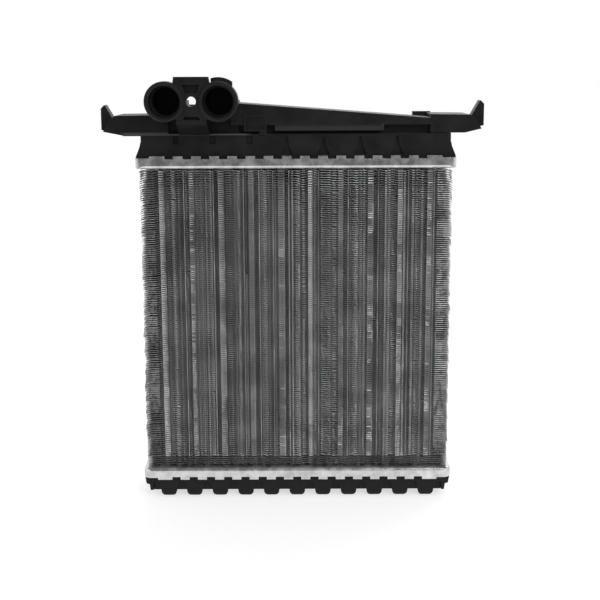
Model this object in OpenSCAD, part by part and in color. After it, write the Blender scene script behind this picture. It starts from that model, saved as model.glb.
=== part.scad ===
// Heater core: plate fins on two rows of round tubes, two crimped header trays,
// and two moulded tanks. Units are millimetres. The base of the bottom tank is at z = 0,
// +X runs to the right seen from the ports, and the ports look along -Y.

/* [Core] */
// Width of the fin block
core_w = 182; // [178:1:230]
// Depth of the fin block
core_d = 42; // [40:1:52]
// Height between the two header trays
core_h = 181; // [100:1:230]
// Spacing of the fins
fin_pitch = 1.26; // [1.1:0.02:3]
// Thickness of a fin
fin_t = 0.15; // [0.1:0.01:0.3]
// Height of the edge that is bent down all round a fin
fin_lip_h = 0.4; // [0.2:0.05:0.6]
// Free height between an end fin and its header tray
fin_gap = 1.4; // [1:0.1:4]
// Thickness of the fin collars round the tubes
collar_t = 0.3; // [0.2:0.05:0.5]

/* [Tubes] */
// Outer diameter of a tube
tube_od = 8.5; // [6:0.1:9.5]
// Wall of a tube
tube_wall = 0.45; // [0.3:0.05:0.8]
// Tubes in the front row, the rear row has one fewer
row_tubes = 10; // [6:1:10]
// Spacing of the tubes along a row
tube_pitch = 17.45; // [15.5:0.05:18]
// Distance between the two rows
row_gap = 19; // [16:0.5:19]
// Length of a tube end above its gasket
tube_stand = 2.2; // [1.6:0.1:3]
// Radius that a flared tube end gains
flare_r = 0.5; // [0.2:0.1:0.8]

/* [Header trays] */
// Overhang of a tray past the fin block at each end
tray_over_w = 2.5; // [1.5:0.1:4]
// Overhang of a tray past the front and back of the fin block
tray_over_d = 2; // [1.8:0.1:4]
// Height of a tray over its crimped edge
tray_h = 7.5; // [6.5:0.1:10]
// Thickness of the tray's sheet
tray_t = 1.2; // [0.8:0.1:1.5]
// Outer radius of the bend at the tray's base
tray_bend_r = 2; // [1.6:0.1:3]
// Outer radius of the tray's upright corners
tray_corner_r = 5; // [3.5:0.1:7]
// Lap of the crimped edge over the tank's foot
crimp_lap = 1.6; // [1:0.1:1.9]
// Spacing of the notches in the crimped edge
notch_pitch = 10.5; // [9:0.1:16]
// Width of a notch
notch_w = 5; // [3:0.1:6]
// Depth of a notch
notch_deep = 1.7; // [1.5:0.1:2.5]
// Least distance from a tray's end to the middle of a notch
notch_margin = 19; // [16:0.5:30]
// Length of the low edge at each end of a tray
corner_cut = 8.8; // [8:0.1:12]
// Width of the two tabs on each end wall
end_tab_w = 7; // [4:0.1:8]
// Distance between the middles of the end tabs
end_tab_gap = 13; // [10:0.1:16]

/* [Gaskets] */
// Thickness of a gasket's mat
gasket_t = 1.2; // [0.8:0.1:2]
// Wall of the sleeve that seals a tube in its tray
sleeve_t = 0.8; // [0.5:0.1:1.2]
// Reach of a sleeve past the tray
sleeve_out = 0.6; // [0.2:0.1:0.8]

/* [Tanks] */
// Gap between a tank's foot and the tray's wall
foot_gap = 0.2; // [0.1:0.05:0.4]
// Ledge of a tank's foot outside its walls
foot_ledge = 2; // [1.9:0.1:3.4]
// Wall of a tank
tank_wall = 3.8; // [3:0.1:4.2]
// Roof and floor of the tanks
tank_roof = 2.4; // [2:0.1:3]
// Depth from the front of a corner gusset
gusset_d = 7; // [4:0.5:9]
// Height of a corner gusset past the crimped edge
gusset_h = 7.8; // [4:0.1:8.4]

/* [Bottom tank] */
// Height of the bottom tank below the crimped edge
pod_drop = 11.7; // [10:0.1:20]
// Spacing of the pods
pod_pitch = 15.7; // [15:0.1:22]
// Width of a pod at its root
pod_root_w = 12.6; // [11:0.1:13]
// Width of a pod at its foot
pod_w = 9.4; // [8:0.1:10.5]
// Height of the valleys between the pods
valley_h = 3.8; // [2:0.1:5]
// Setback of the valley walls behind the front of the pods
valley_back = 1.6; // [0.8:0.1:2]
// Height of the plain band above the valleys
band_h = 2.6; // [1:0.1:4]
// Radius along the edges of a pod's foot
pod_r = 3.7; // [1:0.1:3.9]
// Radius along the front and back edges of a pod's foot
pod_front_r = 2.6; // [1:0.1:6]

/* [Top tank] */
// Height of the top tank over the crimped edge
tank_rise = 12.5; // [11:0.1:20]
// Spacing of the slots and wedge recesses in the long walls
recess_pitch = 21.4; // [18:0.1:40]
// Shift of the row of slots and recesses to the right
recess_shift = 5.3; // [0:0.1:8]
// Width of a recess at its foot
recess_w = 8; // [5:0.1:10]
// Depth of a recess
recess_deep = 1.7; // [0.8:0.1:1.8]
// Width of the slots that take the recesses' place below the ports
slot_w = 3.6; // [2:0.1:5]
// Height of these slots
slot_h = 4.8; // [3:0.1:6]
// Thickness of the divider between the two halves
divider_t = 2; // [1.5:0.1:3]

/* [Ports] */
// Distance from the core's middle to the screw hole, to the left
screw_x = 58.5; // [50:0.1:62]
// Distance between the two ports
port_pitch = 30.2; // [28:0.1:34]
// Height of the ports over the top tank
port_rise = 19; // [17:0.1:22]
// Distance from the core's middle to the mouths of the ports
port_reach = 40; // [36:0.5:60]
// Outer diameter of a port
port_od = 22.6; // [21:0.1:24]
// Outer diameter of the barrel behind the port's lip
barrel_od = 19.6; // [18.6:0.1:21]
// Diameter of the seat for the pipe's seal
seat_d = 17.6; // [16.5:0.1:18]
// Depth of the seat
seat_deep = 9; // [6:0.5:12]
// Bore of a port
port_bore = 15.4; // [14:0.1:16]
// Depth of a port's bore behind its mouth
port_deep = 34; // [30:0.5:36]
// Bore for the fixing screw
screw_d = 5.6; // [4:0.1:6]
// Thickness of the plate between the ports
plate_t = 6; // [4:0.5:7]
// Height of the plate over the middle of the ports
plate_rise = 13.7; // [12:0.1:16]
// Width of the plate at its top
plate_w = 19.4; // [16:0.1:22]

/* [Duct] */
// Height of the duct over the tank where it leaves the port
duct_h_in = 17.9; // [14:0.1:20]
// Height of the duct over the tank at its far end
duct_h_out = 8.6; // [8.3:0.1:12]
// Distance from the core's middle to the duct's far end
duct_end = 82; // [70:0.5:86]
// Gap between the tank's roof and the duct's floor
duct_lift = 5.2; // [4.8:0.1:6]
// Wall of the duct
duct_wall = 1.8; // [1.4:0.1:2]
// Length of the duct's solid end
duct_close = 8; // [6:0.5:14]
// Reach of the duct's face in front of the middle of the core
duct_front = 20; // [19:0.5:24]
// Place of the duct's back behind the middle of the core
duct_back = 8; // [6:0.5:12]

/* [Rail and ribs] */
// Start of the rail under the duct, right of the core's middle
rail_start = -12; // [-14:0.5:0]
// Length of the rail
rail_w = 63; // [30:0.5:70]
// Reach of the rail in front of the duct
rail_out = 1.2; // [0.6:0.1:2]
// Width of the framed panel on the duct
panel_w = 13; // [8:0.5:14]
// Height of the framed panel
panel_h = 9.4; // [6:0.1:10]
// Spacing of the ribs behind the duct
rib_pitch = 24; // [16:0.5:40]
// Thickness of these ribs
rib_t = 1.6; // [1:0.1:2.4]

/* [Wings] */
// Reach of the left wing past the tank
wing_left = 21.4; // [16:0.1:28]
// Reach of the right wing past the tank
wing_right = 17.5; // [14:0.1:28]
// Height of the left wing's underside over the tank's roof
wing_foot_left = -0.8; // [-1:0.1:1]
// Height of the right wing's underside over the tank's roof
wing_foot_right = 0.3; // [-1:0.1:1]
// Height of a wing over the tank's roof
wing_h = 11; // [10:0.1:14]
// Skin of a wing
wing_skin = 1.8; // [1.4:0.1:2.4]
// Gap between a wing's tip and the upright of its latch
latch_out = 3.2; // [3:0.1:8]
// Height of the left latch's base over the tank's roof
latch_rise_left = 1.9; // [1:0.1:4.5]
// Height of the right latch's base over the tank's roof
latch_rise_right = 3.9; // [1:0.1:4.5]
// Height of a latch
latch_h = 14.4; // [12:0.1:20]
// Width of a latch's faces
latch_w = 10; // [6:0.5:14]
// Thickness of a latch's faces
latch_t = 1.3; // [1:0.1:1.6]

/* [Hidden] */
$fn = 48;
over = 1;
rear_tubes = row_tubes - 1;
FRONT = [for (i = [1:row_tubes]) str("tube_front_", i)];
REAR = [for (i = [1:rear_tubes]) str("tube_rear_", i)];

// Heights of the trays, the tank and the ports over the base
bottom_sheet_z = pod_drop + tray_h;
top_sheet_z = bottom_sheet_z + core_h;
top_edge_z = top_sheet_z + tray_h;
roof_z = top_edge_z + tank_rise;
port_z = roof_z + port_rise;

// Sizes of a tray and of what it holds, from the sheet's outer face
tray_w = core_w + 2 * tray_over_w;
tray_d = core_d + 2 * tray_over_d;
foot_w = tray_w - 2 * tray_t - 2 * foot_gap;
foot_d = tray_d - 2 * tray_t - 2 * foot_gap;
foot_r = tray_corner_r - tray_t;
tank_w = foot_w - 2 * foot_ledge;
tank_d = foot_d - 2 * foot_ledge;
mat_z = tray_t;
foot_z = tray_t + gasket_t;
foot_top_z = tray_h - tray_t;
notch_half = floor((tray_w / 2 - notch_margin) / notch_pitch);
tab_end_x = tray_w / 2 - corner_cut;

// Tubes
tube_r = tube_od / 2;
sleeve_r = tube_r + sleeve_t;
tube_low_z = bottom_sheet_z - foot_z - tube_stand;
tube_len = core_h + 2 * (foot_z + tube_stand);
fin_count = floor((core_h - 2 * fin_gap - fin_t) / fin_pitch) + 1;
fin_stack_h = (fin_count - 1) * fin_pitch + fin_t;
fin_stack_z = bottom_sheet_z + (core_h - fin_stack_h) / 2;

// Inside of the tanks
cavity_w = tank_w - 2 * tank_wall;
cavity_d = tank_d - 2 * tank_wall;

// Places of the ports
port_r = port_od / 2;
left_port_x = -screw_x - port_pitch / 2;
right_port_x = -screw_x + port_pitch / 2;
flange_front_y = -port_reach + 1.6;
block_back_y = -port_reach + port_deep + 8;
block_front_y = -tank_d / 2 + 3;
block_h = port_rise - screw_d / 2 + 0.3;

// The duct's own lines
duct_start_x = right_port_x + 6;
duct_low_z = roof_z + duct_lift;
duct_end_r = 3;
neck_front_y = -tank_d / 2 + 5;
neck_back_y = duct_back - 2;

function front_x(i) = (i - (row_tubes + 1) / 2) * tube_pitch;
function rear_x(i) = (i - (rear_tubes + 1) / 2) * tube_pitch;
function duct_top_z(x) =
    roof_z + duct_h_in + (duct_h_out - duct_h_in) * (x - duct_start_x) / (duct_end - duct_start_x);

module rounded_rect(w, d, r) {
    square([w - 2 * r, d], center = true);
    square([w, d - 2 * r], center = true);
    for (x = [-1, 1], y = [-1, 1])
        translate([x * (w / 2 - r), y * (d / 2 - r)]) circle(r = r);
}

// A block on its base, with its two lower corners rounded
module soft_base(w, h, r) {
    translate([-w / 2 + r, 0]) square([w - 2 * r, h]);
    translate([-w / 2, r]) square([w, h - r]);
    for (x = [-1, 1]) translate([x * (w / 2 - r), r]) circle(r = r);
}

// Extrudes an outline drawn in x and z along y, between two places on y
module along_y(y0, y1) {
    translate([0, y1, 0]) rotate([90, 0, 0]) linear_extrude(y1 - y0) children();
}

// Extrudes an outline drawn in y and z along x, between two places on x
module along_x(x0, x1) {
    translate([x0, 0, 0]) rotate([90, 0, 90]) linear_extrude(x1 - x0) children();
}

module block(x0, x1, y0, y1, z0, z1) {
    translate([x0, y0, z0]) cube([x1 - x0, y1 - y0, z1 - z0]);
}

module tube_places() {
    for (i = [1:row_tubes]) translate([front_x(i), -row_gap / 2]) children();
    for (i = [1:rear_tubes]) translate([rear_x(i), row_gap / 2]) children();
}

// Fins and tubes
module fin() {
    difference() {
        translate([0, 0, -fin_lip_h])
            linear_extrude(fin_t + fin_lip_h) square([core_w, core_d], center = true);
        translate([0, 0, -fin_lip_h - over])
            linear_extrude(fin_lip_h + over)
                square([core_w - 2 * fin_t, core_d - 2 * fin_t], center = true);
    }
}

module fin_pack() {
    color("gainsboro")
        difference() {
            union() {
                for (i = [0:fin_count - 1])
                    translate([0, 0, fin_stack_z + i * fin_pitch]) fin();
                tube_places()
                    translate([0, 0, fin_stack_z])
                        cylinder(r = tube_r + collar_t, h = fin_stack_h);
            }
            tube_places()
                translate([0, 0, fin_stack_z - over])
                    cylinder(r = tube_r, h = fin_stack_h + 2 * over);
        }
}

module tube() {
    mouth_r = tube_r + flare_r;
    end_z = tube_len;
    color("silver")
        translate([0, 0, tube_low_z])
            rotate_extrude()
                polygon([
                    [tube_r - tube_wall, tube_stand],
                    [mouth_r - tube_wall, 0],
                    [mouth_r, 0],
                    [tube_r, tube_stand],
                    [tube_r, end_z - tube_stand],
                    [mouth_r, end_z],
                    [mouth_r - tube_wall, end_z],
                    [tube_r - tube_wall, end_z - tube_stand]
                ]);
}

// Header trays: the sheet's outer face is at z = 0 and the crimped edge looks up
module tray_skin() {
    intersection() {
        linear_extrude(tray_h) rounded_rect(tray_w, tray_d, tray_corner_r);
        along_x(-tray_w / 2, tray_w / 2) soft_base(tray_d, tray_h, tray_bend_r);
        along_y(-tray_d / 2, tray_d / 2) soft_base(tray_w, tray_h, tray_bend_r);
    }
}

module end_relief() {
    for (side = [-1, 1]) {
        for (y = [-1, 1]) {
            tab_out = end_tab_gap / 2 + end_tab_w / 2;
            translate([side > 0 ? tab_end_x : -tray_w / 2 - over, y > 0 ? tab_out : -tray_d / 2 - over, 0])
                cube([corner_cut + over, tray_d / 2 + over - tab_out, tray_t + over]);
        }
        between = end_tab_gap - end_tab_w;
        translate([side > 0 ? tab_end_x : -tray_w / 2 - over, -between / 2, 0])
            cube([corner_cut + over, between, tray_t + over]);
    }
}

module tray() {
    lap = tray_t + crimp_lap;
    difference() {
        tray_skin();
        translate([0, 0, tray_t])
            linear_extrude(tray_h - 2 * tray_t)
                rounded_rect(tray_w - 2 * tray_t, tray_d - 2 * tray_t, tray_corner_r - tray_t);
        translate([0, 0, foot_top_z - over])
            linear_extrude(tray_t + 2 * over)
                rounded_rect(tray_w - 2 * lap, tray_d - 2 * lap, tray_corner_r - tray_t);
        for (i = [-notch_half:notch_half])
            translate([i * notch_pitch - notch_w / 2, -tray_d / 2 - over, tray_h - notch_deep])
                cube([notch_w, tray_d + 2 * over, notch_deep + over]);
        translate([0, 0, foot_top_z]) end_relief();
        tube_places() translate([0, 0, -over]) cylinder(r = sleeve_r, h = tray_t + 2 * over);
    }
}

module top_header() {
    color("silver") translate([0, 0, top_sheet_z]) tray();
}

module bottom_header() {
    color("silver") translate([0, 0, bottom_sheet_z]) mirror([0, 0, 1]) tray();
}

// Gaskets: a mat inside the tray with a sleeve round every tube
module gasket() {
    difference() {
        union() {
            translate([0, 0, mat_z]) linear_extrude(gasket_t) rounded_rect(foot_w, foot_d, foot_r);
            tube_places() translate([0, 0, -sleeve_out]) cylinder(r = sleeve_r, h = foot_z + sleeve_out);
        }
        tube_places()
            translate([0, 0, -sleeve_out - over]) cylinder(r = tube_r, h = foot_z + sleeve_out + 2 * over);
    }
}

module top_gasket() {
    color("dimgray") translate([0, 0, top_sheet_z]) gasket();
}

module bottom_gasket() {
    color("dimgray") translate([0, 0, bottom_sheet_z]) mirror([0, 0, 1]) gasket();
}

// What both tanks share, from the sheet's outer face: the foot, the trough and the corner gussets
module trough(height) {
    translate([0, 0, foot_z]) linear_extrude(foot_top_z - foot_z) rounded_rect(foot_w, foot_d, foot_r);
    translate([0, 0, foot_z]) linear_extrude(height - foot_z) rounded_rect(tank_w, tank_d, 2);
}

module corner_gussets(height) {
    low = foot_top_z - 0.6;
    edge_x = tray_w / 2 - 0.4;
    gusset_back = 0.4;
    for (x = [0, 1], y = [0, 1])
        mirror([x, 0, 0])
            mirror([0, y, 0])
                along_y(tank_d / 2 - gusset_d, tank_d / 2 - gusset_back)
                    polygon([
                        [tank_w / 2 - over, low],
                        [foot_w / 2, low],
                        [foot_w / 2, foot_top_z + foot_gap],
                        [edge_x, foot_top_z + foot_gap],
                        [edge_x - 0.3, tray_h],
                        [tank_w / 2 + 1.7, tray_h + 0.3 * height],
                        [tank_w / 2 + 0.6, tray_h + 0.65 * height],
                        [tank_w / 2, tray_h + height],
                        [tank_w / 2 - over, tray_h + height]
                    ]);
}

module trough_cavity(depth) {
    translate([0, 0, foot_z - over])
        linear_extrude(depth - foot_z + over) rounded_rect(cavity_w, cavity_d, 2);
}

// Bottom tank
module pod() {
    root_z = tray_h;
    foot_half = pod_w / 2;
    intersection() {
        along_y(-tank_d / 2, tank_d / 2)
            union() {
                polygon([
                    [-pod_root_w / 2, root_z - over],
                    [pod_root_w / 2, root_z - over],
                    [pod_root_w / 2, root_z + over],
                    [foot_half, tray_h + pod_drop - pod_r],
                    [foot_half - pod_r, tray_h + pod_drop],
                    [-foot_half + pod_r, tray_h + pod_drop],
                    [-foot_half, tray_h + pod_drop - pod_r],
                    [-pod_root_w / 2, root_z + over]
                ]);
                for (x = [-1, 1])
                    translate([x * (foot_half - pod_r), tray_h + pod_drop - pod_r]) circle(r = pod_r);
            }
        along_x(-pod_root_w / 2, pod_root_w / 2)
            translate([0, tray_h + pod_drop])
                mirror([0, 1]) soft_base(tank_d, pod_drop + over, pod_front_r);
    }
}

// The stepped blocks at the ends of the bottom tank
module end_blocks() {
    edge_x = tray_w / 2 - 0.4;
    step_z = tray_h + 3.6;
    floor_z = tray_h + pod_drop - valley_h;
    for (x = [0, 1], y = [0, 1])
        mirror([x, 0, 0])
            mirror([0, y, 0])
                along_y(tank_d / 2 - gusset_d, tank_d / 2 - 0.4)
                    polygon([
                        [tank_w / 2 - 2, foot_top_z - 0.6],
                        [foot_w / 2, foot_top_z - 0.6],
                        [foot_w / 2, foot_top_z + foot_gap],
                        [edge_x, foot_top_z + foot_gap],
                        [edge_x - 0.8, step_z],
                        [tank_w / 2 + 0.3, step_z + 0.6],
                        [tank_w / 2 - 0.2, floor_z],
                        [tank_w / 2 - 2, floor_z]
                    ]);
}

module pan() {
    pod_half = floor((tank_w / 2 - pod_root_w / 2) / pod_pitch);
    floor_z = tray_h + pod_drop - valley_h;
    difference() {
        union() {
            trough(tray_h + over);
            translate([0, 0, tray_h])
                linear_extrude(floor_z - tray_h) rounded_rect(tank_w - 2, tank_d - 2 * valley_back, 2);
            translate([0, 0, tray_h]) linear_extrude(band_h) rounded_rect(tank_w - 1, tank_d, 2);
            for (i = [-pod_half:pod_half]) translate([i * pod_pitch, 0, 0]) pod();
            end_blocks();
        }
        trough_cavity(floor_z - tank_roof);
        for (i = [-pod_half:pod_half])
            translate([i * pod_pitch - pod_w / 4, -cavity_d / 2 + 1, floor_z - tank_roof - over])
                cube([pod_w / 2, cavity_d - 2, valley_h + over]);
    }
}

module bottom_tank() {
    color("#262626") translate([0, 0, bottom_sheet_z]) mirror([0, 0, 1]) pan();
}

// Top tank: slots below the ports, then wedge recesses, and a bare stretch at the right end
module wall_slot() {
    translate([-slot_w / 2, roof_z - 1 - slot_h]) square([slot_w, slot_h]);
}

module wall_wedge() {
    low_z = top_edge_z + 0.4;
    top_z = roof_z - 1.6;
    polygon([
        [-recess_w / 2, low_z],
        [recess_w / 2, low_z],
        [recess_w / 5, (low_z + top_z) / 2],
        [recess_w / 9, top_z],
        [-recess_w / 9, top_z],
        [-recess_w / 5, (low_z + top_z) / 2]
    ]);
}

module wall_recesses() {
    count = floor((tank_w - recess_w) / recess_pitch);
    for (i = [0:count - 2]) {
        x = recess_shift + (i - (count - 1) / 2) * recess_pitch;
        translate([x, 0, 0])
            for (y = [0, 1])
                mirror([0, y, 0])
                    along_y(tank_d / 2 - recess_deep, tank_d / 2 + over)
                        if (x < right_port_x + recess_pitch) wall_slot();
                        else wall_wedge();
    }
}

// The divider steps between the staggered tubes
module divider() {
    step = tube_pitch / 2;
    mid = row_gap / 2 - tube_r - flare_r;
    half = divider_t / 2;
    translate([0, 0, top_sheet_z + foot_z])
        linear_extrude(roof_z - top_sheet_z - foot_z - over)
            polygon([
                [-half, -cavity_d / 2 - over],
                [half, -cavity_d / 2 - over],
                [half, -mid],
                [step + half, mid],
                [step + half, cavity_d / 2 + over],
                [step - half, cavity_d / 2 + over],
                [step - half, mid],
                [-half, -mid]
            ]);
}

module roof_rim() {
    rim_t = 1;
    rim_out = 0.6;
    block(-tank_w / 2 - wing_left * 0.45, right_port_x + port_r + 6, -tank_d / 2 - rim_out, -tank_d / 2 + 2,
        roof_z - rim_t, roof_z + 0.2);
}

// Ports: a revolved barrel each, with the seat and the bore cut later in one pass
module port_barrel(x) {
    length = port_deep + 3;
    lip = length - seat_deep - 2;
    edge = 0.8;
    translate([x, -port_reach + length, port_z])
        rotate([90, 0, 0])
            rotate_extrude()
                polygon([
                    [0, 0],
                    [barrel_od / 2 - 1.5, 0],
                    [barrel_od / 2, 1.5],
                    [barrel_od / 2, lip - 1],
                    [port_r, lip],
                    [port_r, length - edge],
                    [port_r - edge, length],
                    [0, length]
                ]);
}

module port_bore_cut(x) {
    lead = 0.9;
    translate([x, -port_reach, port_z])
        rotate([90, 0, 0])
            rotate_extrude()
                polygon([
                    [0, -port_deep],
                    [port_bore / 2, -port_deep],
                    [port_bore / 2, -seat_deep - 1],
                    [seat_d / 2, -seat_deep],
                    [seat_d / 2, -lead],
                    [seat_d / 2 + lead, 0],
                    [seat_d / 2 + lead, over],
                    [0, over]
                ]);
}

// The arched pad on the right port
module port_pad() {
    reach = port_r + 2.2;
    intersection() {
        translate([right_port_x, flange_front_y + plate_t, port_z])
            rotate([90, 0, 0]) cylinder(r = reach, h = plate_t - 2);
        block(right_port_x - 4, right_port_x + 8, flange_front_y - over, flange_front_y + plate_t + over,
            port_z + port_r - 4, port_z + reach + over);
    }
}

module flange_plate() {
    top_z = port_z + plate_rise;
    foot_z_out = port_z - port_r + 1.5;
    translate([-screw_x, 0, 0])
        along_y(flange_front_y, flange_front_y + plate_t)
            polygon([
                [-plate_w / 2, top_z],
                [plate_w / 2, top_z],
                [plate_w / 2 + 1, top_z - 5],
                [plate_w / 2 - 1, foot_z_out],
                [-plate_w / 2 + 1, foot_z_out],
                [-plate_w / 2 - 0.6, top_z - 5]
            ]);
}

module flange_recesses() {
    deep = plate_t / 2;
    top_z = port_z + plate_rise - 4.2;
    translate([-screw_x, 0, 0])
        along_y(flange_front_y - over, flange_front_y + deep)
            polygon([
                [-5, top_z],
                [5, top_z],
                [3.4, top_z - 5],
                [-3.4, top_z - 5]
            ]);
    translate([-screw_x, 0, 0])
        along_y(flange_front_y - over, flange_front_y + deep)
            polygon([
                [-5, port_z - port_r + 1],
                [5, port_z - port_r + 1],
                [4, port_z - port_r + 3],
                [-4, port_z - port_r + 3]
            ]);
}

// The block under the ports, and the web that carries the flange plate
module port_block() {
    block(left_port_x - port_r + 1, right_port_x + port_r - 1, block_front_y, block_back_y,
        roof_z - over, roof_z + block_h);
    for (x = [left_port_x, right_port_x])
        block(x - port_r + 1, x + port_r - 1, block_front_y, block_back_y, roof_z - over, port_z);
    block(-screw_x - plate_w / 2 + 1, -screw_x + plate_w / 2 - 1,
        flange_front_y + plate_t - over, block_front_y + over, roof_z + 5, port_z - port_r + 2);
    along_x(-screw_x - plate_w / 2 + 1, -screw_x + plate_w / 2 - 1)
        polygon([
            [flange_front_y + 0.6, port_z - port_r + 2],
            [flange_front_y + 0.6, port_z - port_r - 1],
            [-tank_d / 2, roof_z - over],
            [block_front_y + over, roof_z - over],
            [block_front_y + over, port_z - port_r + 2]
        ]);
}

// Duct: a tapered box from the right port to the right half of the tank
module duct_wedge(end_x, inset) {
    polygon([
        [duct_start_x + inset, duct_low_z + inset],
        [end_x, duct_low_z + inset],
        [end_x, duct_top_z(end_x) - inset],
        [duct_start_x + inset, duct_top_z(duct_start_x) - inset]
    ]);
}

module duct() {
    end_x = duct_end - duct_end_r;
    along_y(-duct_front, duct_back) {
        duct_wedge(end_x, 0);
        intersection() {
            translate([end_x, duct_top_z(end_x) - duct_end_r]) circle(r = duct_end_r);
            translate([end_x, duct_low_z]) square([duct_end_r, duct_h_in]);
        }
        translate([end_x, duct_low_z]) square([duct_end_r, duct_top_z(end_x) - duct_low_z - duct_end_r]);
    }
    block(duct_start_x, duct_end - duct_end_r, neck_front_y, neck_back_y, roof_z - over, duct_low_z + over);
}

// Ways for the water: from each port's bore down into its half of the tank
module water_ways() {
    way = port_bore - 3;
    floor_z = roof_z - tank_roof - over;
    way_y0 = neck_front_y + duct_wall;
    way_y1 = neck_back_y - duct_wall;
    block(left_port_x - way / 2, left_port_x + way / 2, way_y0, -port_reach + port_deep, floor_z, port_z);
    along_y(-duct_front + duct_wall, duct_back - duct_wall) duct_wedge(duct_end - duct_close, duct_wall);
    block(right_port_x, duct_start_x + duct_wall + over, way_y0, -port_reach + port_deep,
        duct_low_z + duct_wall, port_z);
    block(tube_pitch, duct_end - duct_close, way_y0, way_y1, floor_z, duct_low_z + duct_wall + over);
}

// The rail under the duct, which stands out in front of it, and its end post
module duct_rail() {
    rail_end = rail_start + rail_w;
    post_t = 1.6;
    front = -duct_front - rail_out;
    low = roof_z + 1.9;
    high = duct_low_z - 0.1;
    along_x(rail_start, rail_end - post_t)
        polygon([
            [neck_front_y + over, low],
            [front, low],
            [front, low + 0.8],
            [-duct_front + 0.6, high],
            [neck_front_y + over, high]
        ]);
    block(rail_end - post_t, rail_end, front + 0.8, neck_front_y + over, low, duct_low_z + 0.4);
}

// A framed panel on the duct's face, with a lug at its lower right corner
module duct_panel() {
    line = 0.9;
    lug_w = 4;
    proud = 0.5;
    x0 = right_port_x + port_r + 2.2;
    z0 = roof_z + 1.6;
    difference() {
        block(x0, x0 + panel_w, -duct_front - proud, neck_front_y + over, z0, z0 + panel_h);
        block(x0 + line, x0 + panel_w - line, -duct_front - over, -duct_front + proud,
            z0 + line, z0 + panel_h - line);
    }
    block(x0 + panel_w - lug_w, x0 + panel_w, -duct_front - proud, neck_front_y + over,
        roof_z - 0.4, z0 + over);
}

// Ribs behind the duct, and the stop beside the right wing
module roof_ribs() {
    rib_count = floor((duct_end - duct_close - duct_start_x - rib_pitch) / rib_pitch);
    rib_low = roof_z - 0.6;
    for (i = [1:rib_count])
        along_x(duct_start_x + i * rib_pitch, duct_start_x + i * rib_pitch + rib_t)
            polygon([
                [duct_back - over, rib_low],
                [tank_d / 2 - 1, rib_low],
                [tank_d / 2 - 1, roof_z + 1.5],
                [duct_back - over, duct_low_z + 1.6]
            ]);
    stop_w = 10.5;
    block(duct_end - stop_w - 1.5, duct_end - 1.5, duct_back - 0.5, duct_back + 5,
        rib_low, roof_z + wing_h + 0.7);
}

// Wings: hollow ears at both ends of the tank, open at the back
module wing_outline(reach, root, foot, inset) {
    polygon([
        [-root + inset, roof_z + foot + inset],
        [reach * 0.45, roof_z + foot + inset],
        [reach - 1.4 * inset, roof_z + foot + 2.3 + inset],
        [reach - 4 - inset, roof_z + wing_h - 2.6 - 0.4 * inset],
        [reach - 6.8 - inset, roof_z + wing_h - 0.4 - inset],
        [-root + inset, roof_z + wing_h - inset]
    ]);
}

module wing(reach, root, foot) {
    front = -tank_d / 2 + 0.6;
    rear = tank_d / 2 - 3;
    web_y = (front + rear) / 2;
    difference() {
        along_y(front, rear) wing_outline(reach, root, foot, 0);
        along_y(front + wing_skin, rear + over) wing_outline(reach, root, foot, wing_skin);
    }
    along_y(web_y - wing_skin / 2, web_y + wing_skin / 2) wing_outline(reach, root, foot, 0.5);
}

// Latches: an upright and a slanted face with a thin tip, closed in front
module latch(reach, rise) {
    outer = reach + latch_out;
    low_z = roof_z + rise;
    high_z = low_z + latch_h;
    foot_x = reach - 7.4;
    tip_x = outer - 2.4;
    shoulder_z = high_z - 2;
    front = -latch_w / 2;
    along_y(front, front + latch_t)
        polygon([[foot_x, low_z], [outer, low_z], [outer, shoulder_z], [tip_x, high_z - 1]]);
    along_y(front, latch_w / 2) {
        polygon([
            [outer - latch_t, low_z],
            [outer, low_z],
            [outer, shoulder_z],
            [outer - latch_t, shoulder_z + 0.8]
        ]);
        polygon([
            [foot_x, low_z],
            [foot_x + latch_t * 1.4, low_z],
            [outer - latch_t + 0.2, shoulder_z - 0.6],
            [outer, shoulder_z],
            [tip_x + 0.5, high_z],
            [tip_x, high_z]
        ]);
        polygon([
            [foot_x, low_z - 1.2],
            [outer - 4, low_z - 1.2],
            [outer, low_z],
            [outer, low_z + 1],
            [foot_x, low_z + 1]
        ]);
    }
}

module tank_shell() {
    difference() {
        union() {
            translate([0, 0, top_sheet_z]) trough(roof_z - top_sheet_z);
            translate([0, 0, top_sheet_z]) corner_gussets(gusset_h);
            roof_rim();
            port_block();
            port_barrel(left_port_x);
            port_barrel(right_port_x);
            port_pad();
            flange_plate();
            duct();
            duct_rail();
            duct_panel();
            roof_ribs();
        }
        translate([0, 0, top_sheet_z]) trough_cavity(roof_z - top_sheet_z - tank_roof);
        wall_recesses();
        water_ways();
        port_bore_cut(left_port_x);
        port_bore_cut(right_port_x);
        flange_recesses();
        translate([-screw_x, flange_front_y + plate_t + over, port_z])
            rotate([90, 0, 0]) cylinder(d = screw_d, h = plate_t + 2 * over);
    }
}

module top_tank() {
    color("#242424") {
        tank_shell();
        divider();
        translate([-tank_w / 2, 0, 0])
            mirror([1, 0, 0]) {
                wing(wing_left, tank_w / 2 + left_port_x, wing_foot_left);
                latch(wing_left, latch_rise_left);
            }
        translate([tank_w / 2, 0, 0]) {
            wing(wing_right, tank_w / 2 - duct_end + duct_end_r + 1, wing_foot_right);
            latch(wing_right, latch_rise_right);
        }
    }
}

fin_pack();
top_header();
bottom_header();
top_gasket();
bottom_gasket();
top_tank();
bottom_tank();
for (i = [1:row_tubes])
    translate([front_x(i), -row_gap / 2, 0]) tube();
for (i = [1:rear_tubes])
    translate([rear_x(i), row_gap / 2, 0]) tube();
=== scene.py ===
"""Looks of the heater core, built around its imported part.

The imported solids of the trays, tanks, gaskets and tubes keep their shape and get their finishes here.
The stack of fins is built anew as thin sheets with pleated edges and crumpled ends. Units are metres.
"""

import logging
import math
from dataclasses import dataclass, field
from enum import Enum

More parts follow.
